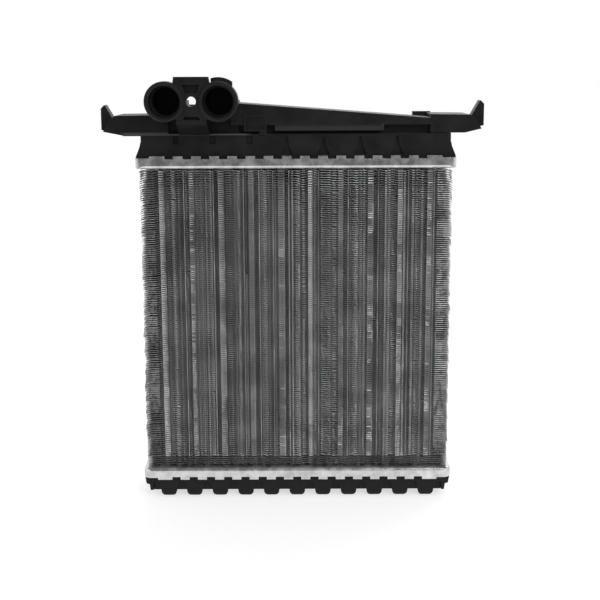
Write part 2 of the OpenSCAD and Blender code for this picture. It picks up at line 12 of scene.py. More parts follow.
import bpy
import numpy as np
from mathutils import Matrix, Vector
from mathutils.geometry import delaunay_2d_cdt


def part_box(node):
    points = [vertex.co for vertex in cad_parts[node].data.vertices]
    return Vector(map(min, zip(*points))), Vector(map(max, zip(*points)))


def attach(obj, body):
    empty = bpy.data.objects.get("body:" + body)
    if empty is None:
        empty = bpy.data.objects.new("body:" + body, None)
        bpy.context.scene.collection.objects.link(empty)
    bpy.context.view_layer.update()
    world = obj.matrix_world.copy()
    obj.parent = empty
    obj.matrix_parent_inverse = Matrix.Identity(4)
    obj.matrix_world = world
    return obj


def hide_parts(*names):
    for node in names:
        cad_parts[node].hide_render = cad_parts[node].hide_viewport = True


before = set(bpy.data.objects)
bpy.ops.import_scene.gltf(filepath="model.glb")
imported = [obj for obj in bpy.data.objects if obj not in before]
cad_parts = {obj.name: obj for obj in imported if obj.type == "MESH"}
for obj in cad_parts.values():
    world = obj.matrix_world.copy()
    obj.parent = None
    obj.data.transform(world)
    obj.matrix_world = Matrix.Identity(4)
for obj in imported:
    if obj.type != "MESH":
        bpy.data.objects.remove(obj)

LOG = logging.getLogger("heater_core")
BODY = "root"
MM = 0.001
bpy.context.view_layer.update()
WHITE = (1.0, 1.0, 1.0, 1.0)

# What delaunay_2d_cdt is asked for: all the triangles, with points this close taken as one
ALL_TRIANGLES = 0
SAME_POINT = 1e-7

Value = bpy.types.NodeSocket | float | tuple[float, ...]
Point = tuple[float, float]


class Grain(Enum):
    """The kinds of fine surface that a finish can have."""

    MOULDED = "moulded"
    ROLLED = "rolled"
    PRESSED = "pressed"
    DRAWN = "drawn"
    SKIN = "skin"


# How far each grain is drawn out along x, y and z: the lower the number, the longer its marks
STRETCH = {
    Grain.MOULDED: (1.0, 1.0, 1.0),
    Grain.ROLLED: (1.0, 0.4, 0.04),
    Grain.PRESSED: (0.25, 1.0, 1.0),
    Grain.DRAWN: (1.0, 1.0, 0.06),
    Grain.SKIN: (1.0, 1.0, 1.0),
}


class Graph:
    """The nodes of one material or world, with short ways to add those that repeat."""

    def __init__(self, tree: bpy.types.NodeTree) -> None:
        """Keeps the tree that the nodes go into.

        Args:
            tree: The node tree of a material or a world.
        """
        self.tree = tree

    def add(self, kind: str) -> bpy.types.Node:
        """Adds a shader node of one kind, such as Bump."""
        return self.tree.nodes.new(f"ShaderNode{kind}")

    def put(self, socket: bpy.types.NodeSocket, value: Value) -> None:
        """Gives an input its value.

        Args:
            socket: The input.
            value: The output to link it to, or a constant.
        """
        if isinstance(value, bpy.types.NodeSocket):
            self.tree.links.new(value, socket)
        else:
            socket.default_value = value

    def maths(self, operation: str, *values: Value) -> bpy.types.NodeSocket:
        """Adds a sum on numbers.

        Args:
            operation: What is done with the values.
            values: The values, in the order of the node's inputs.

        Returns:
            The result.
        """
        node = self.add("Math")
        node.operation = operation
        for socket, value in zip(node.inputs, values):
            self.put(socket, value)
        return node.outputs[0]

    def vector(self, operation: str, *values: Value) -> bpy.types.Node:
        """Adds a sum on vectors.

        Args:
            operation: What is done with the values.
            values: The values, in the order of the node's inputs.

        Returns:
            The node, whose output Vector or Value has the result.
        """
        node = self.add("VectorMath")
        node.operation = operation
        for socket, value in zip(node.inputs, values):
            self.put(socket, value)
        return node

    def split(self, vector: bpy.types.NodeSocket) -> bpy.types.Node:
        """Adds a node whose outputs X, Y and Z are the parts of a vector."""
        node = self.add("SeparateXYZ")
        self.put(node.inputs["Vector"], vector)
        return node

    def ramp(
        self, value: bpy.types.NodeSocket, start: float, stop: float, low: float = 0.0, high: float = 1.0
    ) -> bpy.types.NodeSocket:
        """Adds a straight ramp that is level outside its range.

        Args:
            value: What runs along the ramp.
            start: Where the ramp starts.
            stop: Where it stops; less than the start turns it round.
            low: Its result at the start.
            high: Its result at the stop.

        Returns:
            The result.
        """
        node = self.add("MapRange")
        node.inputs["From Min"].default_value = start
        node.inputs["From Max"].default_value = stop
        node.inputs["To Min"].default_value = low
        node.inputs["To Max"].default_value = high
        self.put(node.inputs["Value"], value)
        return node.outputs["Result"]

    def mix(
        self, factor: bpy.types.NodeSocket, one: Value, other: Value, kind: str = "RGBA"
    ) -> bpy.types.NodeSocket:
        """Adds a mix of two colours or numbers.

        Args:
            factor: How much there is of the other one.
            one: The value at a factor of 0.
            other: The value at a factor of 1.
            kind: RGBA for colours or FLOAT for numbers.

        Returns:
            The mixed value.
        """
        node = self.add("Mix")
        node.data_type = kind
        self.put(node.inputs["Factor"], factor)
        self.put(node.inputs["A"], one)
        self.put(node.inputs["B"], other)
        return node.outputs["Result"]

    def noise(
        self, place: bpy.types.NodeSocket, scale: float, stretch: tuple[float, float, float], detail: float
    ) -> bpy.types.NodeSocket:
        """Adds noise that lies fixed in given coordinates.

        Args:
            place: The coordinates.
            scale: Repeats per metre.
            stretch: Factors on x, y and z; less than 1 draws the noise out.
            detail: Octaves of the noise.

        Returns:
            The noise, about 0.5 on average.
        """
        fit = self.add("Mapping")
        fit.inputs["Scale"].default_value = [scale * s for s in stretch]
        self.put(fit.inputs["Vector"], place)
        texture = self.add("TexNoise")
        texture.inputs["Scale"].default_value = 1.0
        texture.inputs["Detail"].default_value = detail
        self.put(texture.inputs["Vector"], fit.outputs["Vector"])
        return texture.outputs["Fac"]


@dataclass(frozen=True)
class PaintedHighlight:
    """A box in the part's coordinates in which a painted highlight makes a finish lighter."""

    low: tuple[float, float, float]
    high: tuple[float, float, float]
    light: float

    @property
    def middle(self) -> tuple[float, ...]:
        """Returns the middle of the box."""
        return tuple((a + b) / 2 for a, b in zip(self.low, self.high))

    @property
    def half(self) -> tuple[float, ...]:
        """Returns half the box's size along x, y and z."""
        return tuple((b - a) / 2 for a, b in zip(self.low, self.high))


@dataclass(frozen=True)
class Finish:
    """One finish of the heater core and the node tree that shows it."""

    slot: str
    colour: tuple[float, float, float]
    dark: float
    light: float
    metallic: float
    roughness: tuple[float, float]
    grain: Grain
    blotch_scale: float
    grain_scale: float
    grain_depth: float
    specular: float = 0.5
    grain_share: float = 0.35
    edge_radius: float = 0.0
    # how much lighter the edges are made: a painted highlight that also stands for wear
    edge_wear_highlight: float = 1.0
    # boxes where a painted highlight lightens the finish
    painted_highlights: tuple[PaintedHighlight, ...] = ()
    # the same for every finish: octaves of noise, how much of it tint and roughness use, and the edges
    blotch_detail: float = 4.0
    grain_detail: float = 3.0
    tint_spread: float = 0.17
    rough_spread: float = 0.15
    bevel_samples: int = 6
    # where the edges' painted highlight and wear set in, and the soft border of each painted highlight
    wear_highlight_turn: tuple[float, float] = (0.99, 0.75)
    highlight_edge: tuple[float, float] = (1.05, 0.95)

    def _tint(self, factor: float) -> tuple[float, ...]:
        """Returns the finish's colour made lighter or darker by a factor."""
        return (*[min(c * factor, 1.0) for c in self.colour], 1.0)

    def material(self) -> bpy.types.Material:
        """Builds the finish's material, once for the whole scene.

        Returns:
            The material, with colour, roughness and bump from its nodes.
        """
        name = f"{self.slot}_finish"
        found = bpy.data.materials.get(name)
        if found:
            return found
        mat = bpy.data.materials.new(name)
        mat.use_nodes = True
        graph = Graph(mat.node_tree)
        shader = mat.node_tree.nodes["Principled BSDF"]
        shader.inputs["Metallic"].default_value = self.metallic
        shader.inputs["Specular IOR Level"].default_value = self.specular

        place = graph.add("TexCoord").outputs["Object"]
        blotch = graph.noise(place, self.blotch_scale, (1.0, 1.0, 1.0), self.blotch_detail)
        grain = graph.noise(place, self.grain_scale, STRETCH[self.grain], self.grain_detail)
        both = graph.maths("MULTIPLY_ADD", grain, self.grain_share, blotch)
        usual = 0.5 * (1 + self.grain_share)
        tone = graph.ramp(both, usual - self.tint_spread, usual + self.tint_spread)
        colour = graph.mix(tone, self._tint(self.dark), self._tint(self.light))
        rough = graph.ramp(blotch, 0.5 - self.rough_spread, 0.5 + self.rough_spread, *self.roughness)
        graph.put(shader.inputs["Roughness"], rough)

        bump = graph.add("Bump")
        bump.inputs["Strength"].default_value = 1.0
        bump.inputs["Distance"].default_value = self.grain_depth
        graph.put(bump.inputs["Height"], grain)
        graph.put(shader.inputs["Normal"], bump.outputs["Normal"])
        # the edges are lightened as wear and as a painted highlight
        if self.edge_radius:
            colour = self._edges(graph, colour, bump)
        # painted highlights, each lightening the colour inside its box
        for highlight in self.painted_highlights:
            colour = self._painted_highlight(graph, place, colour, highlight)
        graph.put(shader.inputs["Base Color"], colour)
        return mat

    def _edges(
        self, graph: Graph, colour: bpy.types.NodeSocket, bump: bpy.types.Node
    ) -> bpy.types.NodeSocket:
        """Rounds the edges a little and lightens their colour there, as wear and as a painted highlight.

        Args:
            graph: The material's nodes.
            colour: The colour away from the edges.
            bump: The bump node of the fine grain.

        Returns:
            The colour with its lightened edges.
        """
        bevel = graph.add("Bevel")
        bevel.samples = self.bevel_samples
        bevel.inputs["Radius"].default_value = self.edge_radius
        rounded = bevel.outputs["Normal"]
        graph.put(bump.inputs["Normal"], rounded)
        flat = graph.add("NewGeometry").outputs["True Normal"]
        turn = graph.vector("DOT_PRODUCT", rounded, flat).outputs["Value"]
        return graph.mix(graph.ramp(turn, *self.wear_highlight_turn), colour, self._tint(self.edge_wear_highlight))

    def _painted_highlight(
        self, graph: Graph, place: bpy.types.NodeSocket, colour: bpy.types.NodeSocket, highlight: PaintedHighlight
    ) -> bpy.types.NodeSocket:
        """Paints a highlight: lightens the finish inside one box.

        Args:
            graph: The material's nodes.
            place: The part's coordinates.
            colour: The colour outside the painted highlight.
            highlight: The box and how much lighter it is.

        Returns:
            The colour with its painted highlight.
        """
        from_middle = graph.vector("SUBTRACT", place, highlight.middle).outputs["Vector"]
        in_halves = graph.vector("DIVIDE", from_middle, highlight.half).outputs["Vector"]
        parts = graph.split(graph.vector("ABSOLUTE", in_halves).outputs["Vector"]).outputs
        far = graph.maths("MAXIMUM", parts["X"], parts["Y"])
        far = graph.maths("MAXIMUM", far, parts["Z"])
        return graph.mix(graph.ramp(far, *self.highlight_edge), colour, self._tint(highlight.light))

    def dress(self, obj: bpy.types.Object) -> None:
        """Gives an object this finish in place of what it has."""
        obj.data.materials.clear()
        obj.data.materials.append(self.material())


# painted highlights: the rail under the duct and the roof's front rim, lighter where their faces catch the
# light
RAIL_HIGHLIGHT = PaintedHighlight(low=(-0.0125, -0.0230, 0.2219), high=(0.0515, -0.0188, 0.2257), light=2.4)
RIM_HIGHLIGHT = PaintedHighlight(low=(-0.1000, -0.0210, 0.2196), high=(-0.0280, -0.0186, 0.2212), light=6.0)

FIN_SHEET = Finish(
    slot="fin_aluminium", colour=(0.47, 0.47, 0.47), dark=0.7, light=1.2, metallic=0.88,
    roughness=(0.3, 0.45), grain=Grain.ROLLED, blotch_scale=60.0, grain_scale=900.0, grain_depth=0.01 * MM,
)
TRAY_SHEET = Finish(
    slot="tray_aluminium", colour=(0.67, 0.67, 0.67), dark=0.74, light=1.18, metallic=0.9,
    roughness=(0.22, 0.36), grain=Grain.PRESSED, blotch_scale=170.0, grain_scale=420.0,
    grain_depth=0.06 * MM, grain_share=0.15, edge_radius=0.3 * MM, edge_wear_highlight=1.3,
)
TUBE_WALL = Finish(
    slot="tube_aluminium", colour=(0.6, 0.6, 0.59), dark=0.85, light=1.1, metallic=0.85,
    roughness=(0.3, 0.42), grain=Grain.DRAWN, blotch_scale=200.0, grain_scale=2500.0, grain_depth=0.02 * MM,
)
RUBBER = Finish(
    slot="gasket_rubber", colour=(0.04, 0.04, 0.04), dark=0.8, light=1.2, metallic=0.0,
    roughness=(0.6, 0.75), grain=Grain.SKIN, blotch_scale=300.0, grain_scale=4000.0, grain_depth=0.02 * MM,
)
NYLON = Finish(
    slot="tank_plastic", colour=(0.0125, 0.0125, 0.013), dark=0.8, light=1.25, metallic=0.0,
    roughness=(0.38, 0.52), grain=Grain.MOULDED, blotch_scale=90.0, grain_scale=3500.0,
    grain_depth=0.03 * MM, specular=0.2, edge_radius=0.4 * MM, edge_wear_highlight=3.0,
    painted_highlights=(RAIL_HIGHLIGHT, RIM_HIGHLIGHT),
)


def share(values: np.ndarray) -> np.ndarray:
    """Keeps values between 0 and 1."""
    return np.clip(values, 0, 1)


def drift(random: np.random.Generator, rows: int, columns: int, run: int) -> np.ndarray:
    """Draws noise that changes slowly from row to row.

    Args:
        random: Where the draws come from.
        rows: How many rows to draw.
        columns: How many columns to draw.
        run: Over how many rows the noise stays alike.

    Returns:
        The noise, about 1 in size.
    """
    window = np.hanning(run + 2)[1:-1]
    window /= np.sqrt((window**2).sum())
    loose = random.normal(size=(rows, columns))
    return np.apply_along_axis(lambda c: np.convolve(c, window, "same"), 0, loose)


def ring(centre: Point, radius: float, sides: int) -> list[Point]:
    """Lists the corners of a circle's polygon.

    Args:
        centre: The circle's middle.
        radius: Its radius.
        sides: How many corners there are.

    Returns:
        The corners, counterclockwise from the right.
    """
    angles = [math.tau * i / sides for i in range(sides)]
    return [(centre[0] + radius * math.cos(a), centre[1] + radius * math.sin(a)) for a in angles]


@dataclass(frozen=True)
class Pleat:
    """One pleat in the edge of every fin: how far it bends down, is lifted and varies from fin to fin."""

    start: float
    stop: float
    drop: float
    lift: float
    unrest: float


@dataclass
class EdgeProfile:
    """The pleated edge that all the fins have along one long side of the block."""

    axes: list[float]
    low: float
    high: float
    count: int
    random: np.random.Generator
    spacers: tuple[float, ...]
    widest: float
    narrowest: float = 0.65 * MM
    blend: float = 0.1 * MM
    # spacer tabs, which bend down farthest
    spacer_width: float = 0.55 * MM
    spacer_drop: float = 1.08 * MM
    spacer_unrest: float = 0.01 * MM
    # bands at the tubes: half the usual width, the usual drop, and the shares of them that are drawn
    band: float = 1.75 * MM
    band_widths: tuple[float, float] = (0.8, 1.05)
    band_stray: float = 0.3 * MM
    band_drop: float = 0.94 * MM
    band_drops: tuple[float, float] = (0.9, 1.08)
    band_lift: float = 0.1 * MM
    band_unrest: float = 0.03 * MM
    # pleats between: where they are cut, how far they bend down, how they are lifted and vary
    cut_places: tuple[float, float] = (0.5, 1.0)
    shallow_drops: tuple[float, float] = (0.04 * MM, 0.14 * MM)
    deep_drops: tuple[float, ...] = (0.12 * MM, 0.28 * MM, 0.4 * MM, 0.5 * MM, 0.64 * MM)
    deep_shares: tuple[float, float] = (0.85, 1.15)
    pleat_lift: float = 0.3 * MM
    unrests: tuple[float, ...] = (0.06 * MM, 0.12 * MM, 0.18 * MM, 0.26 * MM)
    # how the fins stray from their pleats: alike over a run of fins, and each on its own
    run: int = 7
    run_share: float = 0.85
    loose_share: float = 0.55
    fin_drops: tuple[float, float] = (0.92, 1.06)
    drop_shake: float = 0.12
    drop_limits: tuple[float, float] = (0.5, 1.5)
    pleats: list[Pleat] = field(init=False)
    shake: np.ndarray = field(init=False)

    def __post_init__(self) -> None:
        """Fills the edge from left to right: spacer tabs, plain bands at the tubes, pleats between."""
        half = self.spacer_width / 2
        fixed = [Pleat(s - half, s + half, self.spacer_drop, 0.0, self.spacer_unrest) for s in self.spacers]
        fixed += [self._band(axis) for axis in self.axes]
        self.pleats = []
        x = self.low
        for pleat in sorted(fixed, key=lambda p: p.start):
            if pleat.start < x + self.blend * 2 or pleat.stop > self.high - self.blend * 2:
                continue
            self._fill(x, pleat.start)
            self.pleats.append(pleat)
            x = pleat.stop
        self._fill(x, self.high)
        self.shake = self._shakes()

    def _band(self, axis: float) -> Pleat:
        """Draws the plain band in front of one tube.

        Args:
            axis: The place of the tube's axis on x.

        Returns:
            The band, as a wide pleat.
        """
        wide = self.band * self.random.uniform(*self.band_widths)
        middle = axis + self.random.uniform(-self.band_stray, self.band_stray)
        drop = self.band_drop * self.random.uniform(*self.band_drops)
        lift = self.random.uniform(-self.band_lift, self.band_lift)
        return Pleat(middle - wide, middle + wide, drop, lift, self.band_unrest)

    def _fill(self, start: float, stop: float) -> None:
        """Fills a stretch between two fixed pleats, livelier in its middle than at its ends.

        Args:
            start: The left end of the stretch.
            stop: Its right end.
        """
        parts = max(1, round((stop - start) / self.random.uniform(self.narrowest, self.widest)))
        cuts = (np.arange(parts - 1) + self.random.uniform(*self.cut_places, parts - 1)) / parts
        ends = start + (stop - start) * np.array([0.0, *cuts, 1.0])
        for number, (a, b) in enumerate(zip(ends, ends[1:])):
            drop = float(self.random.choice(self.deep_drops) * self.random.uniform(*self.deep_shares))
            if number in (0, parts - 1):
                drop = self.random.uniform(*self.shallow_drops)
            lift = self.random.uniform(-self.pleat_lift, self.pleat_lift)
            unrest = float(self.random.choice(self.unrests))
            self.pleats.append(Pleat(a, b, drop, lift, unrest))

    def _shakes(self) -> np.ndarray:
        """Draws how far each fin strays at each pleat, alike over a few fins.

        Returns:
            One row for each fin, one column for each pleat.
        """
        loose = self.random.normal(size=(self.count, len(self.pleats)))
        slow = drift(self.random, self.count, len(self.pleats), self.run)
        return self.loose_share * loose + self.run_share * slow

    def places(self) -> list[float]:
        """Returns the places on x where the edge changes its slope."""
        found = []
        for pleat in self.pleats:
            found += [pleat.start + self.blend / 2, pleat.stop - self.blend / 2]
        return found

    def _levels(self, x: np.ndarray, name: str) -> np.ndarray:
        """Reads one measure of the pleats at places along the edge.

        Args:
            x: The places.
            name: The pleats' measure.

        Returns:
            The measure at each place.
        """
        values = [getattr(p, name) for p in self.pleats for _ in range(2)]
        return np.interp(x, self.places(), values)

    def fold(self, i: int, x: np.ndarray) -> tuple[np.ndarray, np.ndarray, np.ndarray]:
        """Works out how one fin's edge is folded at places along it.

        Args:
            i: The fin's number, from the lowest up.
            x: The places.

        Returns:
            How far the edge bends down, how far it is lifted with all the others, and how far
            this fin strays from that.
        """
        pleat = np.searchsorted([p.stop for p in self.pleats[:-1]], x)
        shake = self.shake[i][pleat]
        uneven = np.clip(1 + self.drop_shake * shake, *self.drop_limits)
        drop = self._levels(x, "drop") * self.random.uniform(*self.fin_drops) * uneven
        return drop, self._levels(x, "lift"), self._levels(x, "unrest") * shake


@dataclass
class KnockedEnd:
    """One end of the block, where the fins are knocked together and their corners folded down."""

    rows: int
    columns: int
    zone: float
    line: float
    random: np.random.Generator
    # how the closing of the fins is mixed: slow drift, patches and loose noise
    slow_run: int = 11
    slow_share: float = 0.5
    patch_run: int = 5
    patch_share: float = 0.65
    loose_share: float = 0.55
    # how far the edges bend down there, and the flat line where the zone starts
    usual_drop: float = 0.46 * MM
    spread: float = 0.28 * MM
    drop_limits: tuple[float, float] = (0.05 * MM, 1.0 * MM)
    lift_share: float = 0.5
    line_share: float = 0.6
    line_drop: float = 0.02 * MM
    # how far the fins reach out, and how their tips fold down
    reach: float = 0.18 * MM
    tip_width: float = 0.9 * MM
    tip_drops: tuple[float, float] = (0.85 * MM, 1.15 * MM)
    tip_strays: tuple[float, float] = (-0.15 * MM, 0.2 * MM)
    closed: np.ndarray = field(init=False)
    out: np.ndarray = field(init=False)

    def __post_init__(self) -> None:
        """Draws how far each fin's edge is closed across the end, and how far the fin reaches out."""
        slow = drift(self.random, self.rows, 1, self.slow_run) * np.ones((1, self.columns))
        patches = drift(self.random, self.rows, self.columns, self.patch_run)
        patches = (patches + np.roll(patches, 1, axis=1)) / math.sqrt(2)
        loose = self.random.normal(size=(self.rows, self.columns))
        shake = self.slow_share * slow + self.patch_share * patches + self.loose_share * loose
        self.closed = self.usual_drop + self.spread * shake
        self.out = self.reach * drift(self.random, self.rows, 1, self.patch_run)[:, 0]

    def crumple(
        self, i: int, end: np.ndarray, drop: np.ndarray, lift: np.ndarray
    ) -> tuple[np.ndarray, np.ndarray]:
        """Changes the fold of one fin's long edge inside this end's zone.

        Args:
            i: The fin's number, from the lowest up.
            end: How far each point is from the fin's end.
            drop: How far the edge bends down at each point.
            lift: How far it is lifted there.

        Returns:
            The changed drop and lift, with a flat line where the zone starts.
        """
        zone = share((self.zone - end) / self.line + 0.5)
        closed = np.interp(end, np.linspace(0, self.zone, self.columns), self.closed[i])
        drop = drop * (1 - zone) + zone * np.clip(closed, *self.drop_limits)
        lift = lift * (1 - zone) + zone * (closed - self.usual_drop) * self.lift_share
        line = np.abs(end - self.zone) < self.line * self.line_share
        return np.where(line, self.line_drop, drop), np.where(line, 0.0, lift)

    def tip(self, i: int, end: np.ndarray) -> tuple[np.ndarray, np.ndarray]:
        """Draws how one fin's end is bent.

        Args:
            i: The fin's number, from the lowest up.
            end: How far each point is from the fin's end.

        Returns:
            How far each point is folded down, and how far it is pulled out.
        """
        down = share(1 - end / self.tip_width) * self.random.uniform(*self.tip_drops)
        out = share(1 - end / self.zone) ** 3 * (self.out[i] + self.random.uniform(*self.tip_strays))
        return down, out


@dataclass
class FinBlock:
    """The stack of plate fins: thin sheets with pleated edges and crumpled ends."""

    seed: int = 7
    groups: int = 8
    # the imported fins: their spacing, their thickness and how far their edge is bent down
    pitch: float = 1.26 * MM
    thickness: float = 0.15 * MM
    edge_drop: float = 0.4 * MM
    # the tubes' barrels, the collars round them and the holes in the sheets
    barrel: float = 4.25 * MM
    collar: float = 0.3 * MM
    collar_gap: float = 0.02 * MM
    collar_sides: int = 24
    hole_sides: int = 12
    hole_clear: float = 0.3 * MM
    hole_share: float = 0.95
    # the points of one fin in plan: along its lip, along the root of its pleats and in rows between
    lip: float = 0.42 * MM
    root: float = 3.0 * MM
    root_step: int = 4
    point_gap: float = 0.05 * MM
    middle_start: float = 5.4 * MM
    middle_rows: int = 7
    middle_insets: tuple[float, ...] = (0.0, 0.3, 0.65, 1.0)
    # the knocked ends, and the widest pleats between them
    end_zone: float = 9.0 * MM
    end_line: float = 0.4 * MM
    end_columns: int = 13
    front_widest: float = 1.5 * MM
    back_widest: float = 2.2 * MM
    # the lowest fins are pushed in and bent less, the highest are raised, and none leaves the limits
    sunk_fins: int = 5
    sunk_deep: float = 2.0 * MM
    sunk_first: float = 0.06
    sunk_step: float = 0.05
    raised_top: float = 0.8 * MM
    raised_step: float = 0.11 * MM
    lowest: float = 0.3 * MM
    highest: float = 1.0 * MM
    # the slot in the front edge of the upper fins
    slot_x: tuple[float, float] = (-30.3 * MM, -28.4 * MM)
    slot_side: float = 0.1 * MM
    slot_slack: float = 0.01 * MM
    slot_low: float = 138 * MM
    slot_deep: float = 2.2 * MM
    # the spacer tabs of the front edge; the back edge has every other one, mirrored
    spacers: tuple[float, ...] = tuple(
        x * MM for x in (-65.4, -48.2, -30.6, -21.5, -13.4, -4.1, 13.2, 30.5, 48.1, 65.6)
    )
    low: Vector = field(init=False)
    high: Vector = field(init=False)
    front_tubes: list[Vector] = field(init=False)
    rear_tubes: list[Vector] = field(init=False)
    random: np.random.Generator = field(init=False)
    front: EdgeProfile = field(init=False)
    back: EdgeProfile = field(init=False)

    def __post_init__(self) -> None:
        """Reads the block's box and the tubes' places from the frame and draws both long edges."""
        self.low, self.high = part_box("fin_pack")
        self.front_tubes = self._tubes("tube_front_")
        self.rear_tubes = self._tubes("tube_rear_")
        self.random = np.random.default_rng(self.seed)
        inner = (self.low.x + self.end_zone, self.high.x - self.end_zone)
        fronts = [v.x for v in self.front_tubes]
        rears = [v.x for v in self.rear_tubes]
        mirrored = tuple(-x for x in self.spacers[::2])
        self.front = EdgeProfile(fronts, *inner, self.count, self.random, self.spacers, self.front_widest)
        self.back = EdgeProfile(rears, *inner, self.count, self.random, mirrored, self.back_widest)

    @staticmethod
    def _tubes(start: str) -> list[Vector]:
        """Finds the axes of one row of tubes.

        Args:
            start: What the names of the row's nodes start with.

        Returns:
            A point on each tube's axis, from left to right.
        """
        names = [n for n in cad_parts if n.startswith(start)]
        middles = [(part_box(n)[0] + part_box(n)[1]) / 2 for n in names]
        return sorted(middles, key=lambda v: v.x)

    @property
    def centres(self) -> list[Point]:
        """Returns the places of all the tubes in plan."""
        return [(v.x, v.y) for v in self.front_tubes + self.rear_tubes]

    @property
    def tube_radius(self) -> float:
        """Returns the radius of the collars round the tubes' barrels."""
        return self.barrel + self.collar

    @property
    def first_z(self) -> float:
        """Returns the height of the middle of the lowest fin's sheet."""
        return self.high.z - self.thickness / 2 - (self.count - 1) * self.pitch

    @property
    def count(self) -> int:
        """Returns how many fins the block has."""
        return round((self.high.z - self.low.z - self.thickness - self.edge_drop) / self.pitch) + 1

    def _across(self, profile: EdgeProfile) -> list[float]:
        """Lists the points on x that one long edge needs.

        Args:
            profile: The edge's pleats.

        Returns:
            The places, from left to right.
        """
        slot = (self.slot_x[0] - self.slot_side, *self.slot_x, self.slot_x[1] + self.slot_side)
        places = [*profile.places(), *slot]
        columns = [self.end_zone * k / (self.end_columns - 1) for k in range(self.end_columns - 1)]
        for inset in (*columns, self.end_zone - self.end_line / 2, self.end_zone + self.end_line / 2):
            places += [self.low.x + inset, self.high.x - inset]
        kept: list[float] = []
        for x in sorted(places):
            if not kept or x - kept[-1] > self.point_gap:
                kept.append(x)
        return kept

    def _points(self) -> list[Point]:
        """Lists the points of one fin in plan, apart from those on its holes.

        Returns:
            The points along both long edges and between them, clear of the holes.
        """
        points: list[Point] = []
        for profile, edge, inward in ((self.front, self.low.y, 1), (self.back, self.high.y, -1)):
            across = self._across(profile)
            points += [(x, edge) for x in across]
            points += [(x, edge + inward * self.lip) for x in across]
            points += [(x, edge + inward * self.root) for x in across[:: self.root_step] + [self.high.x]]
        middle = (self.low.y + self.middle_start, self.high.y - self.middle_start)
        for y in np.linspace(*middle, self.middle_rows):
            for inset in self.middle_insets:
                points.append((self.low.x + inset * self.end_zone, y))
                points.append((self.high.x - inset * self.end_zone, y))
        centres = self.centres
        clear = self.tube_radius + self.hole_clear
        return [p for p in points if all(math.dist(p, c) > clear for c in centres)]

    def _plan(self) -> tuple[np.ndarray, np.ndarray, np.ndarray]:
        """Lays out one fin in plan, with its holes.

        Returns:
            The points, the triangles between them, and the border's edges in the triangles' order.
        """
        points = self._points()
        edges: list[tuple[int, int]] = []
        for centre in self.centres:
            start = len(points)
            points += ring(centre, self.tube_radius, self.hole_sides)
            edges += [(start + i, start + (i + 1) % self.hole_sides) for i in range(self.hole_sides)]
        flat = [Vector(p) for p in points]
        verts, _, faces, _, _, _ = delaunay_2d_cdt(flat, edges, [], ALL_TRIANGLES, SAME_POINT)
        plan = np.array([(v.x, v.y) for v in verts])
        triangles = np.array(faces)
        middles = plan[triangles].mean(axis=1)
        inside = self.tube_radius * self.hole_share
        away = [np.hypot(*(middles - c).T) > inside for c in self.centres]
        triangles = triangles[np.all(away, axis=0)]
        sides = {(int(t[i]), int(t[(i + 1) % 3])) for t in triangles for i in range(3)}
        border = sorted(s for s in sides if (s[1], s[0]) not in sides)
        return plan, triangles, np.array(border)

    def _sheet(self, i: int, plan: np.ndarray, ends: dict[int, KnockedEnd]) -> np.ndarray:
        """Shapes one fin.

        Args:
            i: The fin's number, from the lowest up.
            plan: The fin's points in plan.
            ends: The block's left (-1) and right (1) end.

        Returns:
            The points of the middle of its sheet.
        """
        x, y = plan[:, 0].copy(), plan[:, 1].copy()
        z = np.full(x.shape, self.first_z + i * self.pitch)
        inset = {-1: x - self.low.x, 1: self.high.x - x}
        sunk = 1.0 if i >= self.sunk_fins else self.sunk_first + self.sunk_step * i
        raised = max(0.0, self.raised_top - self.raised_step * (self.count - 1 - i))
        edges = ((self.front, y - self.low.y, 1), (self.back, self.high.y - y, -1))
        for profile, edge, inward in edges:
            bend = share(1 - edge / self.lip)
            rise = share(1 - (edge - self.lip) / (self.root - self.lip))
            drop, lift, stray = profile.fold(i, x)
            for side, end in ends.items():
                drop, lift = end.crumple(i, inset[side], drop, lift)
            z += rise * (lift + stray + raised) - bend * drop * sunk
            y += inward * rise * (1 - sunk) * self.sunk_deep
        # the first point is the fin's left front corner
        if z[0] > self.slot_low:
            low, high = self.slot_x[0] - self.slot_slack, self.slot_x[1] + self.slot_slack
            pushed = np.where((x > low) & (x < high), share(1 - (y - self.low.y) / self.root), 0)
            y += pushed * self.slot_deep
        for side, end in ends.items():
            down, out = end.tip(i, inset[side])
            z -= down
            x += side * out
        return np.column_stack([x, y, np.clip(z, self.low.z - self.lowest, self.high.z + self.highest)])

    def _end(self) -> KnockedEnd:
        """Draws one end of the block."""
        return KnockedEnd(self.count, self.end_columns, self.end_zone, self.end_line, self.random)

    def build(self) -> list[bpy.types.Object]:
        """Builds the fins, in groups of whole fins, and the collars that join them.

        Returns:
            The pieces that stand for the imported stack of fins.
        """
        plan, triangles, border = self._plan()
        ends = {-1: self._end(), 1: self._end()}
        sheets = [self._sheet(i, plan, ends) for i in range(self.count)]
        return self._groups(sheets, triangles, border) + [self._collars()]

    def _groups(
        self, sheets: list[np.ndarray], triangles: np.ndarray, border: np.ndarray
    ) -> list[bpy.types.Object]:
        """Gives the sheets their thickness and joins them in a few pieces.

        Args:
            sheets: The middle surface of each fin, as points.
            triangles: The triangles of one fin in plan.
            border: The edges of one fin's border.

        Returns:
            One piece for each group of fins.
        """
        size = len(sheets[0])
        start, end = border[:, 0], border[:, 1]
        walls = [
            np.column_stack([end, start, start + size]),
            np.column_stack([end, start + size, end + size]),
        ]
        one = np.vstack([triangles, triangles[:, ::-1] + size, *walls])
        half = np.array([0, 0, self.thickness / 2])
        pieces = []
        for number, members in enumerate(np.array_split(np.arange(len(sheets)), self.groups), start=1):
            verts = np.vstack([np.vstack([sheets[i] + half, sheets[i] - half]) for i in members])
            faces = np.vstack([one + k * 2 * size for k in range(len(members))])
            pieces.append(new_mesh(f"fin_sheets_{number}", verts, faces))
        return pieces

